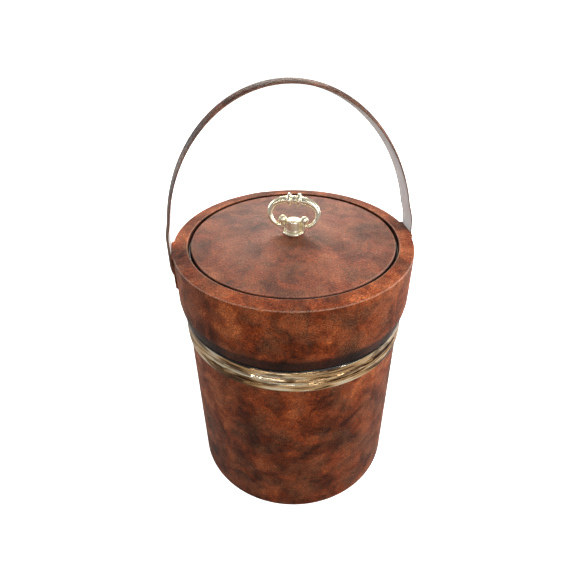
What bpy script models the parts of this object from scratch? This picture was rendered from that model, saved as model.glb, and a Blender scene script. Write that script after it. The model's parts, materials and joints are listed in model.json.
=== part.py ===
"""Ice bucket with a lift-off lid, a swinging strap handle and a ring pull on the lid.

Metres, +Z up. The origin is on the floor under the middle of the bucket, and the
handle's pivots lie along X. Every piece is one closed solid, and touching pieces
keep CLEAR between them.
"""
import math

import bmesh
import bpy
from mathutils import Matrix, Vector

MM = 0.001

# ---- driving dimensions -------------------------------------------------------
CLEAR = 0.3 * MM              # gap between touching pieces
SEGMENTS = 40                 # facets round every large turned piece
SMALL_SEGMENTS = 16           # facets round screws, bushes and knob pieces

COLLAR_RADIUS = 102.0 * MM    # outside of the wide collar
RIM_HEIGHT = 245.0 * MM       # outer edge of the collar's top
RIM_CROWN = 2.0 * MM          # the collar's top rises by this much to the well
COLLAR_SIDE_BOTTOM = 198.0 * MM
COLLAR_ROLL_BOTTOM = 185.3 * MM
BODY_RADIUS = 97.0 * MM       # outside of the covered body
VINYL = 1.0 * MM              # thickness of the covering
WELL_RADIUS = 89.1 * MM       # hole in the collar that the lid sinks into
LID_RADIUS = 87.0 * MM
LID_EDGE_RISE = 1.2 * MM      # lid edge above the collar's outer edge
LID_CROWN = 5.5 * MM          # rise of the dome from its edge to its middle
LID_SKIRT = 8.0 * MM          # how far coverings turn down beside the well
PAN_RADIUS = 80.0 * MM        # plug under the lid
PAN_DEPTH = 8.0 * MM          # plug below the liner's flange
PAN_WALL = 2.0 * MM
PIVOT_DROP = 12.5 * MM        # handle pivots below the rim
PAD_FACE = 102.7 * MM         # flat faces that the handle turns against
PAD_HALF_WIDTH = 13.4 * MM
PAD_DROP = 30.0 * MM

BOARD = 2.5 * MM              # wall of the body tube
BASE_BOARD = 5.0 * MM
LINER_WALL = 2.5 * MM
LINER_BOTTOM = 24.3 * MM
LINER_FLOOR_RADIUS = 76.0 * MM
LINER_MOUTH_RADIUS = 83.6 * MM
LINER_FLANGE = 230.0 * MM
LIP = 1.2 * MM                # upstand of the liner, seen in the groove

BAND_WIDTH = 20.0 * MM
BAND_THICKNESS = 2.9 * MM
BAND_COVER = 0.7 * MM         # covering on the handle's outside and edges
BAND_LEAN = math.radians(10.0)
ARCH_HALF_WIDTH = 104.1 * MM  # outside of the arch at its springing
ARCH_SPRING = 18.0 * MM       # springing above the pivots
ARCH_RISE = 121.6 * MM
ARCH_SET = -1.8 * MM          # the crown's sideways set, which a strap takes in use
ARCH_STEPS = 30
STRIP_HALF_WIDTH = 6.0 * MM   # spring strip inside the handle
STRIP_THICKNESS = 1.0 * MM

PIN_RADIUS = 2.5 * MM         # studs that the handle turns on
STUD_HEAD = 4.6 * MM
BUSH_RADIUS = 4.2 * MM
NUT_POCKET = 6.2 * MM         # radius of the pockets behind the bushes
POCKET_END = 95.0 * MM        # outer end of the pockets, from the middle
BUSH_END = 95.6 * MM
WASHER_RADIUS = 5.4 * MM
WASHER_THICKNESS = 0.7 * MM
NUT_RADIUS = 5.2 * MM
NUT_THICKNESS = 2.5 * MM
THROUGH = 200.0 * MM          # half-length of a cutter that crosses the bucket

KNOB_TURN = math.radians(-19.5)   # the knob's axis, from the handle's
FLANGE_RADIUS = 8.7 * MM
POST_RADIUS = 6.3 * MM
POST_HEIGHT = 11.8 * MM       # shoulder of the post above the lid
BALL_RADIUS = 3.6 * MM
BALL_OFFSET = 9.1 * MM
LUG_OFFSET = 7.9 * MM
LUG_RADIUS = 2.1 * MM
SCREW_HOLE = 2.3 * MM
BAIL_PIVOT_RISE = 6.4 * MM    # ring pull's axis above the lid
BAIL_PIN = 1.0 * MM
BAIL_LEAN = math.radians(12.0)
BAIL_HALF_WIDTH = 20.2 * MM
BAIL_HEIGHT = 22.2 * MM       # centre of the ring's top above its axis
BAIL_TIP = 11.4 * MM          # where the ring's tips stop, beside the lugs
TIP_RADIUS = 1.85 * MM        # the ring is thin at its tips and fat at its top
TOP_SWELL = 1.4 * MM
COIN_RADIUS = 5.75 * MM       # two turned collars at the ring's top
COIN_OFFSET = 3.9 * MM
COIN_HALF_WIDTH = 1.85 * MM

# ---- worked-out dimensions ----------------------------------------------------
TUBE_RADIUS = BODY_RADIUS - VINYL - CLEAR
TUBE_INSIDE = TUBE_RADIUS - BOARD
BASE_BOARD_BOTTOM = BOARD + CLEAR
BASE_BOARD_TOP = BASE_BOARD_BOTTOM + BASE_BOARD
FILL_RADIUS = TUBE_INSIDE - CLEAR
COLLAR_STEP = COLLAR_SIDE_BOTTOM - 0.7 * MM
TUBE_TOP = COLLAR_STEP - CLEAR
BODY_SKIN_TOP = TUBE_TOP - 7.0 * MM
TRIM_INSIDE = BODY_RADIUS + CLEAR
WELL_WALL = WELL_RADIUS + VINYL + CLEAR
LINER_FLANGE_TOP = LINER_FLANGE + 2.2 * MM
PIVOT_HEIGHT = RIM_HEIGHT - PIVOT_DROP
LID_EDGE = RIM_HEIGHT + LID_EDGE_RISE
LID_APEX = LID_EDGE + LID_CROWN
WELL_RIM = RIM_HEIGHT + RIM_CROWN
PAN_BOTTOM = LINER_FLANGE - PAN_DEPTH
BEAD_TOP = COLLAR_ROLL_BOTTOM - CLEAR
BEAD_BOTTOM = BEAD_TOP - 1.8 * MM
BAND_TOP = BEAD_BOTTOM - CLEAR
GOLD_HEIGHT = 21.2 * MM


def clear_scene():
    for item in list(bpy.data.objects):
        bpy.data.objects.remove(item, do_unlink=True)


def material(name, colour, roughness, metallic=0.0):
    made = bpy.data.materials.new(name)
    made.use_nodes = True
    shader = made.node_tree.nodes["Principled BSDF"]
    shader.inputs["Base Color"].default_value = (*colour, 1.0)
    shader.inputs["Roughness"].default_value = roughness
    shader.inputs["Metallic"].default_value = metallic
    return made


clear_scene()
LEATHER = material("brown_vinyl", (0.17, 0.05, 0.025), 0.45)
LINING = material("grey_lining", (0.55, 0.55, 0.53), 0.5)
BOARD_BROWN = material("fibreboard", (0.30, 0.20, 0.12), 0.9)
BLACK = material("black_plastic", (0.01, 0.01, 0.01), 0.2)
LINER = material("dark_liner", (0.02, 0.016, 0.014), 0.25)
FOAM = material("white_foam", (0.85, 0.85, 0.82), 0.8)
GOLD = material("gold_metal", (0.78, 0.62, 0.30), 0.2, 1.0)
STEEL = material("plain_steel", (0.55, 0.56, 0.57), 0.35, 1.0)
RUBBER = material("dark_rubber", (0.03, 0.03, 0.03), 0.7)


def add_object(name, mesh, surface, parent=None):
    mesh.materials.append(surface)
    mesh.shade_smooth()
    mesh.set_sharp_from_angle(angle=math.radians(35.0))
    made = bpy.data.objects.new(name, mesh)
    bpy.context.scene.collection.objects.link(made)
    made.parent = parent
    return made


def mesh_from(name, shape):
    bmesh.ops.recalc_face_normals(shape, faces=shape.faces)
    mesh = bpy.data.meshes.new(name)
    shape.to_mesh(mesh)
    shape.free()
    return mesh


def empty(name, matrix, parent=None):
    made = bpy.data.objects.new(name, None)
    bpy.context.scene.collection.objects.link(made)
    made.parent = parent
    made.matrix_local = matrix
    return made


def turned_mesh(name, outline, segments=SEGMENTS, axis="Z"):
    """Spins a closed outline of (radius, height) points round an axis."""
    shape = bmesh.new()
    points = [shape.verts.new((radius, 0.0, height)) for radius, height in outline]
    for start, end in zip(points, points[1:] + points[:1]):
        shape.edges.new((start, end))
    bmesh.ops.spin(shape, geom=shape.verts[:] + shape.edges[:], axis=(0, 0, 1),
                   cent=(0, 0, 0), angle=math.tau, steps=segments, use_merge=True)
    bmesh.ops.remove_doubles(shape, verts=shape.verts, dist=0.01 * MM)
    loose = [edge for edge in shape.edges if not edge.link_faces]
    bmesh.ops.delete(shape, geom=loose, context="EDGES")
    if axis == "X":
        bmesh.ops.rotate(shape, verts=shape.verts, matrix=Matrix.Rotation(math.pi / 2, 3, "Y"))
    return mesh_from(name, shape)


def turned(name, outline, surface, segments=SEGMENTS, parent=None, axis="Z"):
    return add_object(name, turned_mesh(name, outline, segments, axis), surface, parent)


def ring(inside, outside, bottom, top):
    return [(inside, bottom), (outside, bottom), (outside, top), (inside, top)]


def combine(target, other, operation):
    """Adds or cuts one solid with another, which stays as a hidden guide."""
    other.hide_render = True
    other.display_type = "WIRE"
    step = target.modifiers.new(operation.lower(), "BOOLEAN")
    step.operation = operation
    step.solver = "EXACT"
    step.object = other


# ---- body ---------------------------------------------------------------------
def build_body():
    turned("base_cover", ring(0.0, TUBE_RADIUS, 0.0, BOARD), BLACK)
    turned("base_board", ring(0.0, FILL_RADIUS, BASE_BOARD_BOTTOM, BASE_BOARD_TOP), BOARD_BROWN)
    turned("body_tube", ring(TUBE_INSIDE, TUBE_RADIUS, BASE_BOARD_BOTTOM, TUBE_TOP), BOARD_BROWN)
    turned("body_skin", ring(BODY_RADIUS - VINYL, BODY_RADIUS, 0.8 * MM, BODY_SKIN_TOP), LEATHER)


def liner_radius(height):
    """Outside radius of the tapered liner at a height."""
    share = (height - LINER_BOTTOM) / (LINER_FLANGE - LINER_BOTTOM)
    return LINER_FLOOR_RADIUS + share * (LINER_MOUTH_RADIUS - LINER_FLOOR_RADIUS)


def build_liner_and_foam():
    foam_bottom = BASE_BOARD_TOP + CLEAR
    sleeve_bottom = LINER_BOTTOM
    sleeve_top = LINER_FLANGE - CLEAR
    shoulder = TUBE_TOP - CLEAR
    throat = WELL_RADIUS - 1.4 * MM
    turned("foam_base", ring(0.0, FILL_RADIUS, foam_bottom, LINER_BOTTOM - CLEAR), FOAM)
    turned("foam_sleeve", [
        (liner_radius(sleeve_bottom) + CLEAR, sleeve_bottom),
        (FILL_RADIUS, sleeve_bottom),
        (FILL_RADIUS, shoulder),
        (throat, shoulder),
        (throat, sleeve_top),
        (liner_radius(sleeve_top) + CLEAR, sleeve_top),
    ], FOAM)
    lip_outside = WELL_RADIUS - CLEAR
    lip_inside = lip_outside - LIP
    flange_outside = WELL_WALL - CLEAR
    floor_top = LINER_BOTTOM + LINER_WALL
    turned("inner_liner", [
        (0.0, LINER_BOTTOM),
        (LINER_FLOOR_RADIUS, LINER_BOTTOM),
        (LINER_MOUTH_RADIUS, LINER_FLANGE),
        (flange_outside, LINER_FLANGE),
        (flange_outside, LINER_FLANGE_TOP),
        (lip_outside, LINER_FLANGE_TOP),
        (lip_outside, RIM_HEIGHT - 3.0 * MM),
        (lip_inside, RIM_HEIGHT - 3.0 * MM),
        (lip_inside, LINER_FLANGE_TOP),
        (LINER_MOUTH_RADIUS - LINER_WALL, LINER_FLANGE_TOP),
        (liner_radius(floor_top) - LINER_WALL, floor_top),
        (0.0, floor_top),
    ], LINER)


def pivot_cutter(name, radius, inside, outside):
    """A bar along X through both sides of the collar, for a pair of holes."""
    return turned(name, ring(0.0, radius, inside, outside), STEEL, SMALL_SEGMENTS, axis="X")


def collar_pads():
    """A bar across the bucket whose two ends are the flat pads on the collar."""
    shape = bmesh.new()
    bmesh.ops.create_cube(shape, size=1.0)
    height = PAD_DROP - CLEAR
    bmesh.ops.scale(shape, verts=shape.verts, vec=(2 * PAD_FACE, 2 * PAD_HALF_WIDTH, height))
    middle = RIM_HEIGHT - CLEAR - height / 2
    bmesh.ops.translate(shape, verts=shape.verts, vec=(0, 0, middle))
    return add_object("pad_bar", mesh_from("pad_bar", shape), LEATHER)


def build_collar():
    core_outside = COLLAR_RADIUS - VINYL - CLEAR
    core = turned("collar_core", [
        (TRIM_INSIDE, BODY_SKIN_TOP),
        (TRIM_INSIDE + 0.7 * MM, BODY_SKIN_TOP),
        (core_outside, COLLAR_SIDE_BOTTOM),
        (core_outside, RIM_HEIGHT - VINYL - CLEAR),
        (WELL_WALL, WELL_RIM - VINYL - CLEAR),
        (WELL_WALL, LINER_FLANGE - CLEAR),
        (WELL_RADIUS - 1.1 * MM, LINER_FLANGE - CLEAR),
        (WELL_RADIUS - 1.1 * MM, COLLAR_STEP),
        (TRIM_INSIDE, COLLAR_STEP),
    ], BOARD_BROWN)
    skin = turned("collar_skin", [
        (TRIM_INSIDE, COLLAR_ROLL_BOTTOM),
        (TRIM_INSIDE + 1.2 * MM, COLLAR_ROLL_BOTTOM + 0.6 * MM),
        (COLLAR_RADIUS - 0.7 * MM, COLLAR_SIDE_BOTTOM - 2.0 * MM),
        (COLLAR_RADIUS, COLLAR_SIDE_BOTTOM),
        (COLLAR_RADIUS, RIM_HEIGHT - 0.8 * MM),
        (COLLAR_RADIUS - 0.8 * MM, RIM_HEIGHT),
        (WELL_RADIUS + 0.5 * MM, WELL_RIM),
        (WELL_RADIUS, WELL_RIM - 0.5 * MM),
        (WELL_RADIUS, RIM_HEIGHT - LID_SKIRT),
        (WELL_RADIUS + VINYL, RIM_HEIGHT - LID_SKIRT),
        (WELL_RADIUS + VINYL, WELL_RIM - VINYL),
        (COLLAR_RADIUS - VINYL, RIM_HEIGHT - VINYL),
        (COLLAR_RADIUS - VINYL, COLLAR_SIDE_BOTTOM),
        (TRIM_INSIDE + 0.3 * MM, COLLAR_ROLL_BOTTOM + 1.8 * MM),
        (TRIM_INSIDE, COLLAR_ROLL_BOTTOM + 1.6 * MM),
    ], LEATHER)
    pads = collar_pads()
    inside = turned("pad_bar_inside", ring(0.0, COLLAR_RADIUS - VINYL / 2, 0.0, 2 * RIM_HEIGHT), LEATHER)
    combine(pads, inside, "DIFFERENCE")
    combine(skin, pads, "UNION")

    holes = pivot_cutter("bush_holes", BUSH_RADIUS + CLEAR, -THROUGH, THROUGH)
    holes.location.z = PIVOT_HEIGHT
    pockets = pivot_cutter("nut_pockets", NUT_POCKET, -POCKET_END, POCKET_END)
    pockets.location.z = PIVOT_HEIGHT
    combine(core, holes, "DIFFERENCE")
    combine(core, pockets, "DIFFERENCE")
    combine(skin, holes, "DIFFERENCE")

    for side, turn in (("left", math.pi), ("right", 0.0)):
        bush = turned("pivot_bush_" + side, ring(PIN_RADIUS + CLEAR, BUSH_RADIUS, BUSH_END, PAD_FACE - CLEAR),
                      GOLD, SMALL_SEGMENTS, axis="X")
        bush.matrix_local = Matrix.Translation((0, 0, PIVOT_HEIGHT)) @ Matrix.Rotation(turn, 4, "Z")


def build_trim():
    bead_middle = (BEAD_TOP + BEAD_BOTTOM) / 2
    turned("black_bead", [
        (TRIM_INSIDE, BEAD_BOTTOM),
        (TRIM_INSIDE + 1.0 * MM, BEAD_BOTTOM),
        (TRIM_INSIDE + 1.7 * MM, bead_middle),
        (TRIM_INSIDE + 1.0 * MM, BEAD_TOP),
        (TRIM_INSIDE, BEAD_TOP),
    ], BLACK)
    # Share of the band's height from its top, and how far it stands out there.
    section = ((0.0, 1.2), (0.10, 1.2), (0.25, 0.6), (0.41, 1.5), (0.50, 1.1), (0.59, 1.5),
               (0.78, 0.6), (0.92, 1.2), (1.0, 1.0))
    outside = [(TRIM_INSIDE + out * MM, BAND_TOP - share * GOLD_HEIGHT) for share, out in section]
    inside = [(TRIM_INSIDE, BAND_TOP - GOLD_HEIGHT), (TRIM_INSIDE, BAND_TOP)]
    turned("gold_band", outside + inside, GOLD)


# ---- handle -------------------------------------------------------------------
def ease(value):
    """Smooth step from 0 to 1."""
    value = min(max(value, 0.0), 1.0)
    return value * value * (3.0 - 2.0 * value)


def arch_outside():
    """Points (across, up) along the outside of the handle, pivot to pivot."""
    # The legs stay straight as far as the pads' corners reach from the pivots.
    legs_end = math.hypot(PAD_HALF_WIDTH, PAD_DROP - PIVOT_DROP) + CLEAR
    leg_half_width = PAD_FACE + CLEAR + BAND_THICKNESS
    blend = 16.0 * MM
    first = math.asin((legs_end - ARCH_SPRING) / ARCH_RISE)
    points = []
    for step in range(ARCH_STEPS + 1):
        angle = first + (math.pi - 2 * first) * step / ARCH_STEPS
        up = ARCH_SPRING + ARCH_RISE * math.sin(angle)
        across = ARCH_HALF_WIDTH * math.cos(angle)
        spread = (leg_half_width - ARCH_HALF_WIDTH) * (1.0 - ease((up - legs_end) / blend))
        across += math.copysign(spread, across)
        across += ARCH_SET * (up - ARCH_SPRING) / ARCH_RISE
        points.append((across, up))
    return [(leg_half_width, 0.0)] + points + [(-leg_half_width, 0.0)]


def arch_path():
    """Frames (point, inward normal) along the handle's outside, with its legs' ends."""
    points = [Vector(point) for point in arch_outside()]
    frames = []
    for index, point in enumerate(points):
        if index in (0, len(points) - 1):
            inward = Vector((-math.copysign(1.0, point.x), 0.0))
        else:
            along = points[index + 1] - points[index - 1]
            inward = Vector((-along.y, along.x)).normalized()
        frames.append((point, inward))
    return frames


def band_mesh(name, half_width, start, end):
    """A strap that follows the arch between two depths, with round ends."""
    path = arch_path()
    end_angles = [math.radians(angle) for angle in (22.0, 42.0, 60.0, 75.0, 87.0)]
    stations = [(point, inward, half_width) for point, inward in path]
    for angle in end_angles:
        drop = half_width * math.sin(angle)
        narrow = half_width * math.cos(angle)
        first, first_inward = path[0]
        last, last_inward = path[-1]
        stations.insert(0, (first - Vector((0.0, drop)), first_inward, narrow))
        stations.append((last - Vector((0.0, drop)), last_inward, narrow))

    shape = bmesh.new()
    loops = []
    for point, inward, width in stations:
        outer = point + inward * start
        inner = point + inward * end
        corners = ((outer, -width), (outer, width), (inner, width), (inner, -width))
        loops.append([shape.verts.new((spot.x, depth, spot.y)) for spot, depth in corners])
    for here, there in zip(loops, loops[1:]):
        for corner in range(4):
            follow = (corner + 1) % 4
            shape.faces.new((here[corner], here[follow], there[follow], there[corner]))
    shape.faces.new(loops[0])
    shape.faces.new(reversed(loops[-1]))
    return mesh_from(name, shape)


def build_handle():
    axis = Matrix.Translation((0, 0, PIVOT_HEIGHT)) @ Matrix.Rotation(-BAND_LEAN, 4, "X")
    pivot = empty("handle_pivot", axis)
    half = BAND_WIDTH / 2
    channel = half - BAND_COVER
    strip_start = BAND_COVER + CLEAR
    strip_end = strip_start + STRIP_THICKNESS
    lining_start = strip_end + 0.2 * MM
    skin = add_object("handle_skin", band_mesh("handle_skin", half, 0.0, BAND_THICKNESS), LEATHER, pivot)
    hollow = band_mesh("handle_hollow", channel, BAND_COVER, BAND_THICKNESS + 1.0 * MM)
    combine(skin, add_object("handle_hollow", hollow, LEATHER, pivot), "DIFFERENCE")
    inner_half = channel - CLEAR
    strip = add_object("handle_strip",
                       band_mesh("handle_strip", STRIP_HALF_WIDTH, strip_start, strip_end), STEEL, pivot)
    lining = add_object("handle_lining",
                        band_mesh("handle_lining", inner_half, lining_start, BAND_THICKNESS),
                        LINING, pivot)

    strip_inside = PAD_FACE + CLEAR + BAND_THICKNESS - strip_end
    pin_end = strip_inside + 0.8 * MM
    pin_hole = pivot_cutter("strip_holes", PIN_RADIUS + CLEAR, -THROUGH, THROUGH)
    head_hole = pivot_cutter("lining_holes", STUD_HEAD + CLEAR, -THROUGH, THROUGH)
    pin_hole.parent = pivot
    head_hole.parent = pivot
    combine(strip, pin_hole, "DIFFERENCE")
    combine(lining, head_hole, "DIFFERENCE")

    head_outside = strip_inside - 0.2 * MM
    head_inside = PAD_FACE + CLEAR
    washer_end = POCKET_END - CLEAR
    washer_start = washer_end - WASHER_THICKNESS
    nut_end = washer_start - CLEAR
    nut_start = nut_end - NUT_THICKNESS
    stud_start = nut_start - CLEAR
    nut_bore = (PIN_RADIUS + CLEAR) / math.cos(math.pi / 6)
    for side, turn in (("left", math.pi), ("right", 0.0)):
        spin = Matrix.Rotation(turn, 4, "Z")
        pieces = (
            turned("pivot_stud_" + side, [
                (0.0, stud_start), (PIN_RADIUS, stud_start), (PIN_RADIUS, head_inside),
                (STUD_HEAD, head_inside), (STUD_HEAD, head_outside), (PIN_RADIUS, head_outside),
                (PIN_RADIUS, pin_end), (0.0, pin_end),
            ], STEEL, SMALL_SEGMENTS, pivot, "X"),
            turned("pivot_washer_" + side, ring(PIN_RADIUS + CLEAR, WASHER_RADIUS, washer_start, washer_end),
                   STEEL, SMALL_SEGMENTS, pivot, "X"),
            turned("pivot_nut_" + side, ring(nut_bore, NUT_RADIUS, nut_start, nut_end),
                   STEEL, 6, pivot, "X"),
        )
        for piece in pieces:
            piece.matrix_local = spin


# ---- lid ----------------------------------------------------------------------
def dome(radius):
    """Height of the lid's outside at a radius."""
    return LID_APEX - LID_CROWN * (radius / LID_RADIUS) ** 2


def dome_line(inside, outside, sink, steps=4):
    """Points out along the dome, sunk below it."""
    radii = [inside + (outside - inside) * step / steps for step in range(steps + 1)]
    return [(radius, dome(radius) - sink) for radius in radii]


def build_lid():
    skin_bottom = RIM_HEIGHT - LID_SKIRT
    core_bottom = skin_bottom + 1.5 * MM
    shoulder = LID_RADIUS - 1.4 * MM
    core_radius = LID_RADIUS - VINYL - CLEAR
    turned("lid_skin", dome_line(SCREW_HOLE, shoulder, 0.0) + [
        (LID_RADIUS - 0.4 * MM, dome(LID_RADIUS) - 0.4 * MM),
        (LID_RADIUS, dome(LID_RADIUS) - 1.4 * MM),
        (LID_RADIUS, skin_bottom),
        (LID_RADIUS - VINYL, skin_bottom),
        (LID_RADIUS - VINYL, dome(LID_RADIUS) - 1.6 * MM),
    ] + dome_line(SCREW_HOLE, shoulder - VINYL, VINYL)[::-1], LEATHER)
    turned("lid_core", dome_line(SCREW_HOLE, core_radius - 1.0 * MM, VINYL + CLEAR) + [
        (core_radius, dome(LID_RADIUS) - 2.4 * MM),
        (core_radius, core_bottom),
        (SCREW_HOLE, core_bottom),
    ], BOARD_BROWN)

    pan_top = core_bottom - CLEAR
    pan_flange = pan_top - 2.2 * MM
    pan_inside = PAN_RADIUS - PAN_WALL
    pan_floor = PAN_BOTTOM + PAN_WALL
    turned("lid_pan", [
        (SCREW_HOLE, PAN_BOTTOM),
        (PAN_RADIUS - 1.0 * MM, PAN_BOTTOM),
        (PAN_RADIUS, PAN_BOTTOM + 1.0 * MM),
        (PAN_RADIUS, pan_flange),
        (core_radius, pan_flange),
        (core_radius, pan_top),
        (pan_inside, pan_top),
        (pan_inside, pan_floor),
        (SCREW_HOLE, pan_floor),
    ], LINER)
    turned("lid_foam", ring(SCREW_HOLE, pan_inside - CLEAR, pan_floor + CLEAR, pan_top), FOAM)
    turned("lid_gasket", ring(PAN_RADIUS + 2.0 * MM, core_radius - 0.5 * MM,
                              LINER_FLANGE_TOP + CLEAR, pan_flange - CLEAR), RUBBER)


# ---- knob and ring pull -------------------------------------------------------
def bail_centre(angle):
    """Centre line (across, up) of the ring pull, from the turn below its middle."""
    tip_angle = math.asin(BAIL_TIP / BAIL_HALF_WIDTH)
    half_height = BAIL_HEIGHT / (1.0 + math.cos(tip_angle))
    middle = BAIL_HEIGHT - half_height
    return Vector((BAIL_HALF_WIDTH * math.sin(angle), middle - half_height * math.cos(angle)))


def bail_radius(angle):
    """Radius of the ring's bar, which swells toward its top and has two round collars there."""
    top = (1.0 - math.cos(angle)) / 2.0
    radius = TIP_RADIUS + TOP_SWELL * top * top
    from_coin = abs(abs(bail_centre(angle).x) - COIN_OFFSET) / COIN_HALF_WIDTH
    if top > 0.9 and from_coin < 1.0:
        radius = max(radius, COIN_RADIUS * math.sqrt(1.0 - 0.55 * from_coin ** 2))
    return radius


def bail_angles():
    """Turns along the ring, closer together at the collars."""
    tip = math.asin(BAIL_TIP / BAIL_HALF_WIDTH)
    side = [tip + (math.pi - 0.32 - tip) * step / 9 for step in range(10)]
    hair = 0.01 * MM
    edge = COIN_HALF_WIDTH
    offsets = (edge + hair, edge - hair, edge / 2, -edge / 2, hair - edge, -edge - hair)
    coin = [math.pi - math.asin((COIN_OFFSET + offset) / BAIL_HALF_WIDTH) for offset in offsets]
    half = side + coin
    return half + [math.pi] + [math.tau - angle for angle in reversed(half)]


def ring_pull_mesh(name):
    shape = bmesh.new()
    sides = 10
    loops = []
    for angle in bail_angles():
        middle = bail_centre(angle)
        along = (bail_centre(angle + 0.001) - bail_centre(angle - 0.001)).normalized()
        outward = Vector((along.y, -along.x))
        radius = bail_radius(angle)
        loop = []
        for side in range(sides):
            turn = math.tau * side / sides
            spot = middle + outward * radius * math.cos(turn)
            loop.append(shape.verts.new((spot.x, radius * math.sin(turn), spot.y)))
        loops.append(loop)
    for here, there in zip(loops, loops[1:]):
        for side in range(sides):
            follow = (side + 1) % sides
            shape.faces.new((here[side], here[follow], there[follow], there[side]))
    shape.faces.new(loops[0])
    shape.faces.new(reversed(loops[-1]))
    return mesh_from(name, shape)


def ball_mesh(name, radius):
    shape = bmesh.new()
    bmesh.ops.create_uvsphere(shape, u_segments=14, v_segments=8, radius=radius)
    return mesh_from(name, shape)


def build_knob():
    place = Matrix.Translation((0, 0, LID_APEX)) @ Matrix.Rotation(KNOB_TURN, 4, "Z")
    knob = empty("knob_place", place)
    flange_bottom = CLEAR
    flange_top = flange_bottom + 2.1 * MM
    turned("knob_flange", [
        (SCREW_HOLE, flange_bottom), (FLANGE_RADIUS, flange_bottom),
        (FLANGE_RADIUS, flange_bottom + 1.0 * MM), (FLANGE_RADIUS - 0.8 * MM, flange_top),
        (SCREW_HOLE, flange_top),
    ], GOLD, 24, knob)

    post_bottom = flange_top + CLEAR
    post = turned("knob_post", [
        (SCREW_HOLE, post_bottom), (POST_RADIUS, post_bottom),
        (POST_RADIUS, POST_HEIGHT - 0.6 * MM), (POST_RADIUS - 0.6 * MM, POST_HEIGHT),
        (POST_RADIUS / 2, POST_HEIGHT + 0.7 * MM), (0.0, POST_HEIGHT + 1.0 * MM),
        (0.0, POST_HEIGHT - 1.2 * MM), (SCREW_HOLE, POST_HEIGHT - 1.2 * MM),
    ], GOLD, 24, knob)
    for side, sign in (("left", -1.0), ("right", 1.0)):
        lug = turned("lug_" + side, ring(0.0, LUG_RADIUS, post_bottom, POST_HEIGHT), GOLD, 12, knob)
        lug.location.x = sign * LUG_OFFSET
        ball = add_object("ball_" + side, ball_mesh("ball_" + side, BALL_RADIUS), GOLD, knob)
        ball.location = (sign * BALL_OFFSET, 0.0, POST_HEIGHT)
        combine(post, lug, "UNION")
        combine(post, ball, "UNION")
        hole = turned("lug_hole_" + side, ring(0.0, BAIL_PIN + CLEAR, 7.0 * MM, 12.0 * MM), GOLD, 12,
                      knob, "X")
        turn = Matrix.Rotation(math.pi if sign < 0 else 0.0, 4, "Z")
        hole.matrix_local = Matrix.Translation((0, 0, BAIL_PIVOT_RISE)) @ turn
        combine(post, hole, "DIFFERENCE")

    washer_top = PAN_BOTTOM - CLEAR
    washer_bottom = washer_top - 0.8 * MM
    turned("knob_washer", ring(SCREW_HOLE, 7.0 * MM, washer_bottom, washer_top), STEEL, 24)
    head_top = washer_bottom - CLEAR
    shank = 1.9 * MM
    shank_top = LID_APEX + POST_HEIGHT - 1.6 * MM
    turned("knob_screw", [
        (0.0, head_top - 2.2 * MM), (3.0 * MM, head_top - 2.2 * MM), (4.2 * MM, head_top - 1.0 * MM),
        (4.2 * MM, head_top), (shank, head_top), (shank, shank_top), (0.0, shank_top),
    ], STEEL, 24)

    lean = Matrix.Translation((0, 0, BAIL_PIVOT_RISE)) @ Matrix.Rotation(-BAIL_LEAN, 4, "X")
    bail_pivot = empty("bail_pivot", lean, knob)
    bail = add_object("bail_ring", ring_pull_mesh("bail_ring"), GOLD, bail_pivot)
    for side, turn in (("left", math.pi), ("right", 0.0)):
        pin = turned("bail_pin_" + side, ring(0.0, BAIL_PIN, 7.4 * MM, BAIL_TIP + 1.2 * MM), GOLD, 10,
                     bail_pivot, "X")
        pin.matrix_local = Matrix.Rotation(turn, 4, "Z")
        combine(bail, pin, "UNION")


build_body()
build_liner_and_foam()
build_collar()
build_trim()
build_handle()
build_lid()
build_knob()
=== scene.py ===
"""Ice bucket covered in brown leather-look vinyl: the visible surfaces and materials."""
import json
import math

import bmesh
import bpy
from mathutils import Matrix, Vector, noise


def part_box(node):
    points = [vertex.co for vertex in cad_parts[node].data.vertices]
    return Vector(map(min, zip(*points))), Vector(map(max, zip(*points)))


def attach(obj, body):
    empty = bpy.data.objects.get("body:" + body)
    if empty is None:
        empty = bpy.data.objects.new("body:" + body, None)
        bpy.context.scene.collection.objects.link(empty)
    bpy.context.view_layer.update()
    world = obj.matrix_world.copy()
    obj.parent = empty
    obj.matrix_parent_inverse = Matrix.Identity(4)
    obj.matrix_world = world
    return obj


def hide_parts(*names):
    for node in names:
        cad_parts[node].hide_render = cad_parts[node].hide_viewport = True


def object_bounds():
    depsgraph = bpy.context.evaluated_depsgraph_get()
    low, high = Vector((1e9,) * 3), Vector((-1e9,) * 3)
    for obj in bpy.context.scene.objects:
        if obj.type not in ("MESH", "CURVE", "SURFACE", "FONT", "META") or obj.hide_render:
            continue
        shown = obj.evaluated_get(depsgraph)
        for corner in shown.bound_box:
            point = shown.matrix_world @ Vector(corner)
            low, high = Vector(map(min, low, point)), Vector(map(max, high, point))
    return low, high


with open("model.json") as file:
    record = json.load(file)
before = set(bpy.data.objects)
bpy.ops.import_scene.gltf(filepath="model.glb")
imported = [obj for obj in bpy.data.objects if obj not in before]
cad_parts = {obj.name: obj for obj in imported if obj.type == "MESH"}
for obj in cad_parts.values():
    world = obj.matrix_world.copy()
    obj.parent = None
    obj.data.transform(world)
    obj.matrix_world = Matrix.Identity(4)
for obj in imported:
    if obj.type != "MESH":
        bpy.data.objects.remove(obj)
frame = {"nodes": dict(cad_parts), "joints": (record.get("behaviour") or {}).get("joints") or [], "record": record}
cad_low, cad_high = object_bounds()

MM = 0.001
BUCKET_FACETS = 288
BAND_FACETS = 900                 # more, for the crumples in the gold band
KNOB_FACETS = 96
ON_AXIS = 0.01 * MM               # a point nearer to the Z axis than this is on it
SHARP_ANGLE = math.radians(40.0)  # an edge that turns more than this is shaded as an edge

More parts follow.
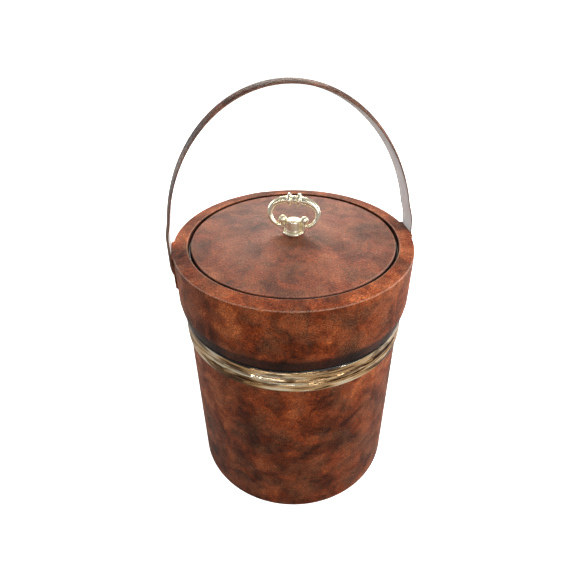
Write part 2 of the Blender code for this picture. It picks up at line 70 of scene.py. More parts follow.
# ---- places from the CAD model --------------------------------------------------
JOINTS = {joint["name"]: joint for joint in frame["joints"]}
HANDLE_AXIS_HEIGHT = JOINTS["handle_swing"]["pos_m"][2]
BAIL_AXIS_HEIGHT = JOINTS["bail_swing"]["pos_m"][2]
BAIL_AXIS = Vector(JOINTS["bail_swing"]["axis"])
KNOB_TURN = math.atan2(BAIL_AXIS.y, BAIL_AXIS.x)

COLLAR_LOW, COLLAR_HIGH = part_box("collar_skin")
COLLAR_RADIUS = COLLAR_HIGH.y
PAD_FACE = COLLAR_HIGH.x
WELL_RIM = COLLAR_HIGH.z
RIM = WELL_RIM - 2.0 * MM         # the collar's top slopes down from the well to here
ROLL_BOTTOM = COLLAR_LOW.z
BODY_LOW, BODY_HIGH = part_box("body_skin")
BODY_RADIUS = BODY_HIGH.y
LID_LOW, LID_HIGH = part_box("lid_skin")
LID_RADIUS = LID_HIGH.y
LID_APEX = LID_HIGH.z
BEAD_LOW, BEAD_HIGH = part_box("black_bead")
GOLD_LOW, GOLD_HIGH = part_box("gold_band")
LINER_LOW, LINER_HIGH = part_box("inner_liner")
PAN_LOW, PAN_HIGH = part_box("lid_pan")
GASKET_LOW, GASKET_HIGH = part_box("lid_gasket")
COVER_LOW, COVER_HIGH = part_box("base_cover")

# ---- sizes of the fine shapes, as in the CAD model ------------------------------
VINYL = 1.0 * MM                  # thickness of the covering
WELL_RADIUS = 89.1 * MM           # outside of the groove round the lid
COLLAR_SIDE_BOTTOM = RIM - 47.0 * MM
LID_CROWN = 5.5 * MM
SCREW_HOLE = 2.3 * MM             # radius, through the lid and the knob
PAD_HALF_WIDTH = 13.4 * MM
PAD_DROP = 30.0 * MM
HANDLE_LEAN = math.radians(10.0)
STRAP_WIDTH = 20.0 * MM
STRAP_THICKNESS = 2.9 * MM
ARCH_HALF_WIDTH = 104.1 * MM
ARCH_SPRING = 18.0 * MM           # height of the arch's widest place over the pivots
ARCH_RISE = 121.6 * MM
ARCH_SET = -1.8 * MM              # how far the arch's top leans sideways
BAIL_LEAN = math.radians(12.0)
BAIL_HALF_WIDTH = 20.2 * MM
BAIL_HEIGHT = 22.2 * MM
BAIL_TIP = 11.4 * MM              # where the ring's two tips are, from its middle
BAIL_PIN = 1.0 * MM
POST_RADIUS = 6.3 * MM
POST_HEIGHT = 11.8 * MM
BALL_RADIUS = 3.6 * MM
BALL_OFFSET = 9.1 * MM
LUG_OFFSET = 7.9 * MM

# ---- seams of the coverings, at the back ------------------------------------------
COLLAR_SEAM = math.radians(97.0)
BODY_SEAM = math.radians(104.0)
TUCK_PAINTED_SHADE = -0.9                     # edge value for painted shade where a covering is tucked away into shadow


# ---- meshes -----------------------------------------------------------------------
def finish_mesh(name, shape, body, surface, replaced, edge_wear_and_painted_light=None):
    """Turns a bmesh into a smooth piece that rides on a body and stands for CAD nodes.

    Its last argument has a value for each point: 1 is pale, as edge wear and a painted highlight,
    0 is plain, and -1 is painted shade where a fold or groove lies in shadow.
    """
    bmesh.ops.recalc_face_normals(shape, faces=shape.faces)
    mesh = bpy.data.meshes.new(name)
    shape.to_mesh(mesh)
    shape.free()
    mesh.shade_smooth()
    mesh.set_sharp_from_angle(angle=SHARP_ANGLE)
    mesh.materials.append(surface)
    if edge_wear_and_painted_light is not None:
        worn_and_highlight = mesh.attributes.new("edge_wear_and_painted_light", "FLOAT", "POINT")
        worn_and_highlight.data.foreach_set("value", edge_wear_and_painted_light)
    piece = bpy.data.objects.new(name, mesh)
    bpy.context.scene.collection.objects.link(piece)
    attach(piece, body)
    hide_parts(*replaced)
    return piece


def rounded(corners, steps=6):
    """Points (across, up, edge value) round a closed outline of corners (across, up, rounding).
    The edge value rises to 1 on each rounding: pale edge wear, which is also a painted highlight.
    """
    points = []
    for index, (across, up, rounding) in enumerate(corners):
        here = Vector((across, up))
        if rounding == 0.0:
            points.append((across, up, 0.0))
            continue
        before = Vector(corners[index - 1][:2])
        after = Vector(corners[(index + 1) % len(corners)][:2])
        back = (before - here).normalized()
        ahead = (after - here).normalized()
        half = back.angle(ahead) / 2
        reach = rounding / math.tan(half)
        centre = here + (back + ahead).normalized() * rounding / math.sin(half)
        first = here + back * reach - centre
        last = here + ahead * reach - centre
        for step in range(steps + 1):
            share = step / steps
            spoke = (first * (1.0 - share) + last * share).normalized() * rounding
            points.append((*(centre + spoke), math.sin(math.pi * share)))
    return points


def turned(outline, facets=BUCKET_FACETS, shift=None, extra_angles=()):
    """A closed outline of (radius, height[, edge value]) turned round Z. Returns its bmesh and the
    edge values: pale edge wear that is also a painted highlight, and painted shade.

    shift(spot, radius, angle) moves a point, and extra_angles adds facets where it needs them.
    """
    angles = sorted([math.tau * turn / facets for turn in range(facets)] + list(extra_angles))
    shape = bmesh.new()
    wear_and_painted_light = []
    axis_points = {}
    for index, point in enumerate(outline):
        if point[0] < ON_AXIS:
            axis_points[index] = shape.verts.new((0.0, 0.0, point[1]))
            wear_and_painted_light.append(0.0)
    columns = []
    for angle in angles:
        column = []
        for index, point in enumerate(outline):
            if index in axis_points:
                column.append(axis_points[index])
                continue
            radius, height = point[0], point[1]
            spot = Vector((radius * math.cos(angle), radius * math.sin(angle), height))
            if shift is not None:
                spot = shift(spot, radius, angle)
            column.append(shape.verts.new(spot))
            wear_and_painted_light.append(point[2] if len(point) > 2 else 0.0)
        columns.append(column)
    for here, there in zip(columns, columns[1:] + columns[:1]):
        for index in range(len(outline)):
            follow = (index + 1) % len(outline)
            corners = [here[index], there[index], there[follow], here[follow]]
            face = [corner for place, corner in enumerate(corners) if corner not in corners[:place]]
            if len(face) > 2:
                shape.faces.new(face)
    return shape, wear_and_painted_light


def ease(value):
    """Rises smoothly from 0 to 1, and stays there."""
    value = min(max(value, 0.0), 1.0)
    return value * value * (3.0 - 2.0 * value)


def bump_out(spot, amount):
    """Moves a point away from the Z axis."""
    return spot + Vector((spot.x, spot.y, 0.0)).normalized() * amount


# ---- material nodes ---------------------------------------------------------------
class Surface:
    """A Principled material, with short calls that add and join its nodes."""

    def __init__(self, name, colour, roughness, metallic=0.0):
        self.material = bpy.data.materials.new(name)
        self.material.use_nodes = True
        self.tree = self.material.node_tree
        self.shader = self.tree.nodes["Principled BSDF"]
        self.shader.inputs["Base Color"].default_value = (*colour, 1.0)
        self.shader.inputs["Roughness"].default_value = roughness
        self.shader.inputs["Metallic"].default_value = metallic
        self.place = self.node("TexCoord").outputs["Object"]

    def node(self, kind, settings=None, **inputs):
        """Adds a node. Its inputs go by their names, with _ for a space."""
        made = self.tree.nodes.new("ShaderNode" + kind)
        for key, value in (settings or {}).items():
            setattr(made, key, value)
        for key, value in inputs.items():
            self.put(made.inputs[key.replace("_", " ")], value)
        return made

    def put(self, socket, value):
        if isinstance(value, bpy.types.NodeSocket):
            self.tree.links.new(value, socket)
        else:
            socket.default_value = value

    def stretch(self, scale, offset=(0.0, 0.0, 0.0)):
        return self.node("Mapping", Vector=self.place, Scale=scale, Location=offset).outputs[0]

    def noise(self, vector, scale, detail=3.0, roughness=0.5, distortion=0.0):
        made = self.node("TexNoise", Vector=vector, Scale=scale, Detail=detail,
                         Roughness=roughness, Distortion=distortion)
        return made.outputs["Fac"]

    def cells(self, vector, scale, feature="F1"):
        made = self.node("TexVoronoi", {"feature": feature}, Vector=vector, Scale=scale)
        return made.outputs["Distance"]

    def math(self, operation, first, second):
        made = self.node("Math", {"operation": operation})
        self.put(made.inputs[0], first)
        self.put(made.inputs[1], second)
        return made.outputs[0]

    def range(self, value, low, high, to_low=0.0, to_high=1.0):
        """Carries low to to_low and high to to_high, smoothly, and holds beyond them."""
        made = self.node("MapRange", {"interpolation_type": "SMOOTHSTEP"}, Value=value)
        for socket, number in zip(made.inputs[1:5], (low, high, to_low, to_high)):
            self.put(socket, number)
        return made.outputs[0]

    def ramp(self, value, *stops):
        """A colour ramp with stops of (position, colour), in order."""
        made = self.node("ValToRGB", Fac=value)
        made.color_ramp.interpolation = "EASE"
        made.color_ramp.elements[0].position = stops[0][0]
        made.color_ramp.elements[0].color = (*stops[0][1], 1.0)
        made.color_ramp.elements[1].position = stops[-1][0]
        made.color_ramp.elements[1].color = (*stops[-1][1], 1.0)
        for position, colour in stops[1:-1]:
            made.color_ramp.elements.new(position).color = (*colour, 1.0)
        return made.outputs["Color"]

    def mix(self, factor, first, second, blend="MIX"):
        made = self.node("Mix", {"data_type": "RGBA", "blend_type": blend})
        self.put(made.inputs[0], factor)
        self.put(made.inputs[6], first if not isinstance(first, tuple) else (*first, 1.0))
        self.put(made.inputs[7], second if not isinstance(second, tuple) else (*second, 1.0))
        return made.outputs[2]

    def attribute(self, name):
        return self.node("Attribute", {"attribute_name": name}).outputs["Fac"]

    def paint(self, colour, roughness=None, height=None, depth=0.0, strength=1.0):
        """Joins the colour, roughness and bump to the shader, and returns the material."""
        self.put(self.shader.inputs["Base Color"], colour)
        if roughness is not None:
            self.put(self.shader.inputs["Roughness"], roughness)
        if height is not None:
            bump = self.node("Bump", Height=height, Distance=depth, Strength=strength)
            self.put(self.shader.inputs["Normal"], bump.outputs[0])
        return self.material

    def gloss(self, **inputs):
        """Constant shader values, such as Coat_Weight=0.3."""
        for key, value in inputs.items():
            self.shader.inputs[key.replace("_", " ")].default_value = value


VINYL_TONES = (                   # step along the ramp, and colour
    (0.0, (0.045, 0.0092, 0.0027)),
    (0.10, (0.132, 0.0255, 0.0062)),
    (0.18, (0.245, 0.0475, 0.0118)),
    (0.30, (0.45, 0.112, 0.032)),
)
VEIN_COLOUR = (0.56, 0.24, 0.115)
WORN_HIGHLIGHT_COLOUR = (0.62, 0.36, 0.25)


def vinyl_surface(name, offset, darkness, shine=0.12, contrast=1.15):
    """Mottled red-brown leather-look vinyl: clouds, a pebbled grain and pale veins, with pale edges
    that are edge wear and a painted highlight, and painted shade in folds and grooves.

    offset moves the pattern, so that no two coverings match. darkness is 0.5 for an even mix of
    dark and light clouds, and more for darker ones. The edge values for the pale edges and the
    painted shade come from finish_mesh.
    """
    vinyl = Surface(name, (0.17, 0.05, 0.02), 0.42)
    vinyl.gloss(Specular_IOR_Level=shine, Sheen_Weight=0.045, Sheen_Roughness=0.3,
                Sheen_Tint=(1.0, 0.88, 0.82, 1.0))
    spot = vinyl.stretch((1.0, 1.0, 1.0), offset)

    # broad clouds with finer patches in them, with more or less contrast about a middle tone
    clouds = vinyl.noise(spot, 24.0, 3.0, 0.5, 0.8)
    patches = vinyl.noise(spot, 58.0, 6.0, 0.66, 0.7)
    tone = vinyl.math("ADD", vinyl.math("MULTIPLY", clouds, 0.45),
                      vinyl.math("MULTIPLY", patches, 0.55))
    darkest = 0.35 + 0.1 * (darkness - 0.5)
    middle = darkest + 0.16
    tone = vinyl.math("ADD", vinyl.math("MULTIPLY", tone, contrast), middle * (1.0 - contrast))
    colour = vinyl.ramp(tone, *((darkest + step, shade) for step, shade in VINYL_TONES))

    # fine grain
    grain = vinyl.noise(spot, 820.0, 4.0, 0.75)
    fleck = vinyl.ramp(grain, (0.34, (0.30, 0.27, 0.25)), (0.5, (0.93, 0.93, 0.93)),
                       (0.68, (2.4, 2.3, 2.1)))
    colour = vinyl.mix(1.0, colour, fleck, "MULTIPLY")

    # pale veins between the cells of a crackle, in patches
    wander = vinyl.node("TexNoise", Vector=spot, Scale=90.0, Detail=2.0).outputs["Color"]
    bent = vinyl.mix(0.06, spot, wander, "ADD")
    veins = vinyl.range(vinyl.cells(bent, 380.0, "DISTANCE_TO_EDGE"), 0.0, 0.12, 1.0, 0.0)
    vein_patch = vinyl.range(vinyl.noise(spot, 48.0, 2.0), 0.38, 0.62)
    vein_share = vinyl.math("MULTIPLY", vinyl.math("MULTIPLY", veins, vein_patch), 0.5)
    colour = vinyl.mix(vein_share, colour, VEIN_COLOUR)

    # painted shade in folds and in the groove round the lid, and pale edges: edge wear that is also a painted
    # highlight
    wear_and_painted_light = vinyl.attribute("edge_wear_and_painted_light")
    lit = vinyl.range(wear_and_painted_light, -1.0, 0.0, 0.16, 1.0)
    lit_grey = vinyl.node("CombineColor", Red=lit, Green=lit, Blue=lit).outputs[0]
    colour = vinyl.mix(1.0, colour, lit_grey, "MULTIPLY")
    worn_and_highlight = vinyl.math("MULTIPLY", vinyl.math("MAXIMUM", wear_and_painted_light, 0.0),
                      vinyl.range(grain, 0.38, 0.6, 0.25, 1.0))
    colour = vinyl.mix(vinyl.math("MULTIPLY", worn_and_highlight, 0.6), colour, WORN_HIGHLIGHT_COLOUR)

    # pebbles that stand up, with the veins cut into them
    pebbles = vinyl.cells(spot, 560.0)
    height = vinyl.math("ADD", vinyl.math("MULTIPLY", pebbles, 0.7),
                        vinyl.math("MULTIPLY", grain, 0.9))
    height = vinyl.math("SUBTRACT", height, vinyl.math("MULTIPLY", veins, 0.35))
    roughness = vinyl.range(patches, 0.3, 0.7, 0.48, 0.36)
    return vinyl.paint(colour, roughness, height, 0.35 * MM, 0.55)


def gold_surface(name, roughness):
    """Pale gold plate, with fine scratches and a little tarnish."""
    gold = Surface(name, (0.88, 0.80, 0.56), roughness, 0.76)
    smudge = gold.noise(gold.place, 90.0, 1.5, 0.5)
    colour = gold.ramp(smudge, (0.3, (0.76, 0.68, 0.45)), (0.5, (0.93, 0.86, 0.64)),
                       (0.7, (0.99, 0.95, 0.80)))
    scratches = gold.noise(gold.stretch((1.0, 1.0, 6.0)), 900.0, 3.0, 0.7)
    rough = gold.range(smudge, 0.35, 0.75, roughness + 0.05, roughness)
    return gold.paint(colour, rough, scratches, 0.008 * MM, 0.2)


def stamped_gold_surface(name):
    """Thin gold-toned foil, crumpled in streaks round the bucket, with painted reflections in its
    colour: dark brown and cream streaks and dark patches that run round the bucket.
    """
    gold = Surface(name, (0.84, 0.58, 0.30), 0.12, 0.8)
    crumple_and_painted_reflection = gold.noise(gold.stretch((22.0, 22.0, 360.0)), 1.0, 3.0, 0.55, 0.4)
    painted_reflection_patch = gold.noise(gold.stretch((38.0, 38.0, 190.0)), 1.0, 3.0)
    # painted reflections: dark brown and cream streaks, from the same noise as the crumples
    colour = gold.ramp(crumple_and_painted_reflection, (0.41, (0.07, 0.03, 0.012)), (0.46, (0.52, 0.30, 0.13)),
                       (0.54, (0.86, 0.58, 0.30)), (0.60, (1.0, 0.88, 0.66)))
    # painted dark reflections in patches
    colour = gold.mix(gold.range(painted_reflection_patch, 0.52, 0.62, 0.0, 0.8), colour, (0.12, 0.052, 0.02))
    rough = gold.range(crumple_and_painted_reflection, 0.3, 0.7, 0.12, 0.05)
    return gold.paint(colour, rough, crumple_and_painted_reflection, 0.5 * MM, 0.9)


def gloss_plastic_surface(name, colour, roughness):
    """Moulded gloss plastic, with swirls of fine scratches and dust."""
    plastic = Surface(name, colour, roughness)
    scuffs = plastic.noise(plastic.stretch((1.0, 1.0, 4.0)), 400.0, 4.0, 0.7)
    lift = tuple(channel * 1.6 + 0.004 for channel in colour)
    shade = plastic.mix(plastic.range(scuffs, 0.45, 0.75), colour, lift)
    rough = plastic.range(scuffs, 0.3, 0.8, roughness, roughness + 0.2)
    return plastic.paint(shade, rough, scuffs, 0.03 * MM, 0.4)


def lining_surface(name):
    """Pale grey satin plastic on the inside of the handle."""
    lining = Surface(name, (0.60, 0.60, 0.58), 0.38)
    haze = lining.noise(lining.place, 70.0, 4.0, 0.6)
    colour = lining.ramp(haze, (0.3, (0.72, 0.745, 0.75)), (0.7, (0.84, 0.865, 0.87)))
    grain = lining.noise(lining.place, 1400.0, 2.0)
    return lining.paint(colour, lining.range(haze, 0.3, 0.7, 0.46, 0.32), grain, 0.03 * MM, 0.4)


def board_surface(name):
    """Brown fibreboard, with short paper fibres."""
    board = Surface(name, (0.30, 0.20, 0.12), 0.9)
    fibres = board.noise(board.stretch((300.0, 300.0, 1500.0)), 1.0, 4.0, 0.7)
    colour = board.ramp(fibres, (0.3, (0.22, 0.14, 0.08)), (0.7, (0.38, 0.27, 0.17)))
    return board.paint(colour, None, fibres, 0.15 * MM, 0.5)


def foam_surface(name):
    """White bead foam."""
    foam = Surface(name, (0.85, 0.85, 0.82), 0.8)
    beads = foam.cells(foam.place, 380.0)
    colour = foam.ramp(beads, (0.1, (0.86, 0.86, 0.84)), (0.7, (0.66, 0.66, 0.63)))
    return foam.paint(colour, None, beads, -0.4 * MM, 0.6)


def steel_surface(name):
    """Zinc-plated steel, brushed and slightly spotted."""
    steel = Surface(name, (0.55, 0.56, 0.57), 0.35, 1.0)
    brushing = steel.noise(steel.stretch((400.0, 2500.0, 400.0)), 1.0, 3.0, 0.6)
    colour = steel.ramp(brushing, (0.3, (0.42, 0.43, 0.44)), (0.7, (0.66, 0.67, 0.68)))
    return steel.paint(colour, steel.range(brushing, 0.3, 0.7, 0.3, 0.45), brushing, 0.02 * MM, 0.4)


def rubber_surface(name):
    """Dark foam rubber with a dull skin."""
    rubber = Surface(name, (0.03, 0.03, 0.03), 0.75)
    pores = rubber.cells(rubber.place, 900.0)
    colour = rubber.ramp(pores, (0.1, (0.022, 0.022, 0.022)), (0.7, (0.05, 0.05, 0.05)))
    return rubber.paint(colour, None, pores, 0.15 * MM, 0.5)


def base_cover_surface(name):
    """Black embossed paper under the bucket, scuffed where it rests."""
    cover = Surface(name, (0.02, 0.02, 0.02), 0.6)
    weave = cover.cells(cover.place, 1100.0)
    scuffs = cover.range(cover.noise(cover.place, 160.0, 5.0, 0.7), 0.55, 0.8)
    colour = cover.mix(scuffs, (0.018, 0.017, 0.016), (0.09, 0.085, 0.08))
    return cover.paint(colour, None, weave, 0.15 * MM, 0.5)


# ---- collar, body and trim ----------------------------------------------------------
def collar_shift(spot, radius, angle):
    """Raises the two flat pads out of the collar's side, and the covering's seam at the back."""
    if radius < COLLAR_RADIUS - 1.6 * MM:
        return spot
    edge = 1.3 * MM               # the slope at a pad's edge
    across = ease((PAD_HALF_WIDTH + edge / 2 - abs(spot.y)) / edge)
    down = ease((spot.z - (RIM - PAD_DROP) + edge / 2) / edge)
    reach = (PAD_FACE - abs(spot.x)) * across * down
    spot.x += math.copysign(reach, spot.x)
    return seam_shift(spot, angle, COLLAR_SEAM)


def seam_shift(spot, angle, seam):
    """The covering's end laps over its start: a small step that fades out one way."""
    step_height = 0.45 * MM
    turn = (angle - seam) % math.tau
    lap = math.radians(11.0)
    if turn > lap:
        return spot
    return bump_out(spot, step_height * (1.0 - ease((turn - 0.4 * lap) / (0.6 * lap))))


def seam_angles(seam):
    """Extra facets at a seam, so that its step is sharp."""
    step = math.radians(0.05)
    return [seam - step, seam + step]


def pad_angles():
    """Extra facets at the pads' upright edges, so that they stay crisp."""
    side = math.asin(PAD_HALF_WIDTH / COLLAR_RADIUS)
    spacing = math.radians(0.16)
    off_facets = math.radians(0.013)
    fine = [side + spacing * step + off_facets for step in range(-4, 5)]
    return [base + sign * turn for base in (math.pi, math.tau) for sign in (-1, 1)
            for turn in fine if (base + sign * turn) < math.tau] + fine


def build_collar(surface):
    """The covering from the well, over the rim and down to the roll over the piping."""
    roll = COLLAR_RADIUS - 4.7 * MM
    outline = rounded([
        (roll, ROLL_BOTTOM, 0.4 * MM),
        (roll + 1.7 * MM, ROLL_BOTTOM + 0.4 * MM, 0.9 * MM),
        (COLLAR_RADIUS - 0.9 * MM, COLLAR_SIDE_BOTTOM - 3.0 * MM, 6.0 * MM),
        (COLLAR_RADIUS, COLLAR_SIDE_BOTTOM + 3.0 * MM, 6.0 * MM),
        (COLLAR_RADIUS, RIM - PAD_DROP, 0.0),
        (COLLAR_RADIUS, RIM + 0.3 * MM, 1.1 * MM),
        (WELL_RADIUS, WELL_RIM + 0.2 * MM, 1.2 * MM),
        (WELL_RADIUS, RIM - 8.0 * MM, 0.3 * MM),
        (WELL_RADIUS + VINYL, RIM - 8.0 * MM, 0.3 * MM),
        (WELL_RADIUS + VINYL, WELL_RIM - VINYL, 0.0),
        (COLLAR_RADIUS - VINYL, RIM - VINYL, 0.0),
        (COLLAR_RADIUS - VINYL, COLLAR_SIDE_BOTTOM, 0.0),
        (roll + 0.3 * MM, ROLL_BOTTOM + 1.8 * MM, 0.0),
    ])
    # painted shade on the groove wall and under the roll above the piping, fading in over tuck_depth; the rim's
    # rounded edges stay pale, as edge wear and a painted highlight
    tuck_depth = 1.5 * MM
    tuck_start = COLLAR_SIDE_BOTTOM - tuck_depth
    shaded = []
    for out, up, wear_and_painted_light in outline:
        if out < WELL_RADIUS + 0.3 * MM and up < WELL_RIM - 0.6 * MM:
            wear_and_painted_light = TUCK_PAINTED_SHADE
        elif up <= RIM - 5.0 * MM:
            wear_and_painted_light = TUCK_PAINTED_SHADE * ease((tuck_start - up) / tuck_depth)
        shaded.append((out, up, wear_and_painted_light))

    # rows of points across the lower edge of the pads
    pad_end = RIM - PAD_DROP
    pad_rows = [pad_end + row * 0.4 * MM for row in range(-3, 4)]
    filled = []
    for here, there in zip(shaded, shaded[1:] + shaded[:1]):
        filled.append(here)
        tall = abs(there[1] - here[1])
        if here[0] > COLLAR_RADIUS - 0.1 * MM and tall > 10.0 * MM:
            filled += [(COLLAR_RADIUS, row, 0.0) for row in pad_rows
                       if min(here[1], there[1]) < row < max(here[1], there[1])]
    extra = pad_angles() + seam_angles(COLLAR_SEAM)
    shape, wear_and_painted_light = turned(filled, shift=collar_shift, extra_angles=extra)
    finish_mesh("collar_cover", shape, "base", surface, ["collar_skin"], wear_and_painted_light)


def build_body(surface):
    outline = rounded([
        (BODY_RADIUS - VINYL, BODY_LOW.z, 0.45 * MM),
        (BODY_RADIUS, BODY_LOW.z, 0.5 * MM),
        (BODY_RADIUS, BODY_HIGH.z, 0.0),
        (BODY_RADIUS - VINYL, BODY_HIGH.z, 0.0),
    ])

    def body_shift(spot, radius, angle):
        if radius < BODY_RADIUS - 0.6 * MM:
            return spot
        return seam_shift(spot, angle, BODY_SEAM)

    shape, wear_and_painted_light = turned(outline, shift=body_shift, extra_angles=seam_angles(BODY_SEAM))
    finish_mesh("body_cover", shape, "base", surface, ["body_skin"], wear_and_painted_light)


def build_base(surface):
    outline = rounded([
        (0.0, COVER_LOW.z, 0.0),
        (COVER_HIGH.y, COVER_LOW.z, 0.4 * MM),
        (COVER_HIGH.y, COVER_HIGH.z, 0.2 * MM),
        (0.0, COVER_HIGH.z, 0.0),
    ])
    shape, wear_and_painted_light = turned(outline)
    finish_mesh("bottom_cover", shape, "base", surface, ["base_cover"], wear_and_painted_light)


def build_bead(surface):
    """Black piping under the collar: two fine rolls side by side."""
    inside = BODY_RADIUS + 0.3 * MM
    face = inside + 1.0 * MM
    tall = BEAD_HIGH.z - BEAD_LOW.z
    roll_radius = tall / 4
    roll_depth = 0.75 * MM
    steps = 9
    outline = [(inside, BEAD_LOW.z), (face, BEAD_LOW.z)]
    for roll in range(2):
        middle = BEAD_LOW.z + roll_radius * (1 + 2 * roll)
        for step in range(steps):
            turn = -math.pi / 2 + math.pi * (step + 0.5) / steps
            out = face + roll_depth * math.cos(turn)
            outline.append((out, middle + roll_radius * math.sin(turn)))
    outline += [(face, BEAD_HIGH.z), (inside, BEAD_HIGH.z)]
    shape, wear_and_painted_light = turned(outline)
    finish_mesh("black_piping", shape, "base", surface, ["black_bead"], wear_and_painted_light)


def band_profile():
    """(share, out): how far the gold band stands out in mm, from its top (0) to its bottom (1)."""
    stops = (
        (0.0, 0.2), (0.04, 0.75), (0.10, 1.2), (0.18, 1.45), (0.26, 1.3), (0.31, 0.8),
        (0.34, 0.4), (0.38, 0.7), (0.44, 1.3), (0.49, 1.4), (0.53, 1.0),
        (0.56, 0.6), (0.60, 0.9), (0.66, 1.45), (0.71, 1.5), (0.75, 1.1),
        (0.78, 0.7), (0.83, 0.9), (0.90, 1.25), (0.96, 1.1), (1.0, 0.5),
    )
    points = []
    for (share, out), (next_share, next_out) in zip(stops, stops[1:]):
        for step in range(3):
            blend = step / 3
            points.append((share + (next_share - share) * blend,
                           out + (next_out - out) * ease(blend)))
    return points + [stops[-1]]


def build_gold_band(surface):
    """A band with four rounded ridges, crumpled most where the middle ones are."""
    inside = BODY_RADIUS + 0.3 * MM
    tall = GOLD_HIGH.z - GOLD_LOW.z
    profile = [(inside + out * MM, GOLD_HIGH.z - share * tall) for share, out in band_profile()]
    outline = profile + [(inside, GOLD_LOW.z), (inside, GOLD_HIGH.z)]

    def dents(spot, radius, angle):
        if radius < inside + 0.3 * MM:
            return spot
        share = (GOLD_HIGH.z - spot.z) / tall
        in_middle = ease((share - 0.28) / 0.08) * ease((0.72 - share) / 0.08)
        around = Vector((spot.x * 90.0, spot.y * 90.0, spot.z * 330.0))
        crumple = noise.noise(around) + 0.6 * noise.noise(around * 2.3)
        slow = noise.noise(Vector((spot.x * 30.0, spot.y * 30.0, spot.z * 60.0)))
        return bump_out(spot, (0.05 + 0.26 * in_middle) * MM * crumple + 0.1 * MM * slow)

    shape, wear_and_painted_light = turned(outline, facets=BAND_FACETS, shift=dents)
    finish_mesh("gold_trim_band", shape, "base", surface, ["gold_band"], wear_and_painted_light)


def build_liner(surface):
    """The dark plastic ice liner, with its seat for the lid and the lip in the groove."""
    floor_radius = 76.0 * MM
    mouth_radius = 83.6 * MM
    wall = 2.5 * MM
    flange = RIM - 15.0 * MM
    flange_top = flange + 2.2 * MM
    lip_outside = WELL_RADIUS - 0.3 * MM
    lip_inside = lip_outside - 1.2 * MM
    outline = rounded([
        (0.0, LINER_LOW.z, 0.0),
        (floor_radius, LINER_LOW.z, 5.0 * MM),
        (mouth_radius, flange, 0.3 * MM),
        (LINER_HIGH.y, flange, 0.0),
        (LINER_HIGH.y, flange_top, 0.3 * MM),
        (lip_outside, flange_top, 0.0),
        (lip_outside, LINER_HIGH.z, 0.5 * MM),
        (lip_inside, LINER_HIGH.z, 0.5 * MM),
        (lip_inside, flange_top, 0.6 * MM),
        (mouth_radius - wall, flange_top, 1.4 * MM),
        (floor_radius - wall + 0.1 * MM, LINER_LOW.z + wall, 6.0 * MM),
        (0.0, LINER_LOW.z + wall, 0.0),
    ])
    shape, wear_and_painted_light = turned(outline)
    finish_mesh("ice_liner", shape, "base", surface, ["inner_liner"], wear_and_painted_light)


# ---- lid -----------------------------------------------------------------------------
def dome(radius):
    """Height of the lid's domed top."""
    return LID_APEX - LID_CROWN * (radius / LID_RADIUS) ** 2


def build_lid(surface):
    """The covering over the domed top, the rounded edge and the skirt in the groove."""
    edge_rounding = 1.8 * MM
    shoulder = LID_RADIUS - edge_rounding
    steps = 24
    radii = [SCREW_HOLE + (shoulder - SCREW_HOLE) * step / steps for step in range(steps + 1)]
    top = [(radius, dome(radius), 0.0) for radius in radii]
    under = [(radius, dome(radius) - VINYL, 0.0) for radius in reversed(radii)]
    roll = []
    for step in range(1, 9):
        turn = math.pi / 2 * (1.0 - step / 8)
        radius = shoulder + edge_rounding * math.cos(turn)
        height = dome(shoulder) - edge_rounding * (1.0 - math.sin(turn))
        # pale over the top of the rounded edge, as edge wear and a painted highlight, and painted shade as it
        # turns down into the groove
        wear_and_painted_light = 0.5 if step < 4 else -ease((step - 3) / 3)
        roll.append((radius, height, wear_and_painted_light))
    # painted shade on the skirt, down in the groove
    skirt = [
        (LID_RADIUS, LID_LOW.z + 0.4 * MM, -1.0),
        (LID_RADIUS - 0.4 * MM, LID_LOW.z, -1.0),
        (LID_RADIUS - VINYL, LID_LOW.z, 0.0),
        (LID_RADIUS - VINYL, roll[-1][1], 0.0),
    ]
    shape, wear_and_painted_light = turned(top + roll + skirt + under)
    finish_mesh("lid_cover", shape, "lid", surface, ["lid_skin"], wear_and_painted_light)


def build_lid_underside(plastic, rubber):
    """The plug that reaches into the liner, and the seal round it."""
    pan_radius = 80.0 * MM
    wall = 2.0 * MM
    flange = PAN_HIGH.z - 2.2 * MM
    outline = rounded([
        (SCREW_HOLE, PAN_LOW.z, 0.0),
        (22.0 * MM, PAN_LOW.z, 1.0 * MM),
        (23.0 * MM, PAN_LOW.z + 0.8 * MM, 1.0 * MM),
        (64.0 * MM, PAN_LOW.z + 0.8 * MM, 1.0 * MM),
        (65.0 * MM, PAN_LOW.z, 1.0 * MM),
        (pan_radius, PAN_LOW.z, 2.5 * MM),
        (pan_radius, flange, 0.6 * MM),
        (PAN_HIGH.y, flange, 0.5 * MM),
        (PAN_HIGH.y, PAN_HIGH.z, 0.3 * MM),
        (pan_radius - wall, PAN_HIGH.z, 0.3 * MM),
        (pan_radius - wall, PAN_LOW.z + wall, 1.0 * MM),
        (SCREW_HOLE, PAN_LOW.z + wall, 0.0),
    ])
    shape, wear_and_painted_light = turned(outline)
    finish_mesh("lid_plug", shape, "lid", plastic, ["lid_pan"], wear_and_painted_light)

    inside = pan_radius + 2.0 * MM
    seal = rounded([
        (inside, GASKET_LOW.z, 0.9 * MM),
        (GASKET_HIGH.y, GASKET_LOW.z, 0.9 * MM),
        (GASKET_HIGH.y, GASKET_HIGH.z, 0.2 * MM),
        (inside, GASKET_HIGH.z, 0.2 * MM),
    ])
    shape, wear_and_painted_light = turned(seal)
    finish_mesh("lid_seal", shape, "lid", rubber, ["lid_gasket"], wear_and_painted_light)


# ---- handle --------------------------------------------------------------------------
def handle_place():
    """From the upright arch to where the handle is at rest."""
    lean = Matrix.Rotation(-HANDLE_LEAN, 4, "X")
    return Matrix.Translation((0.0, 0.0, HANDLE_AXIS_HEIGHT)) @ lean


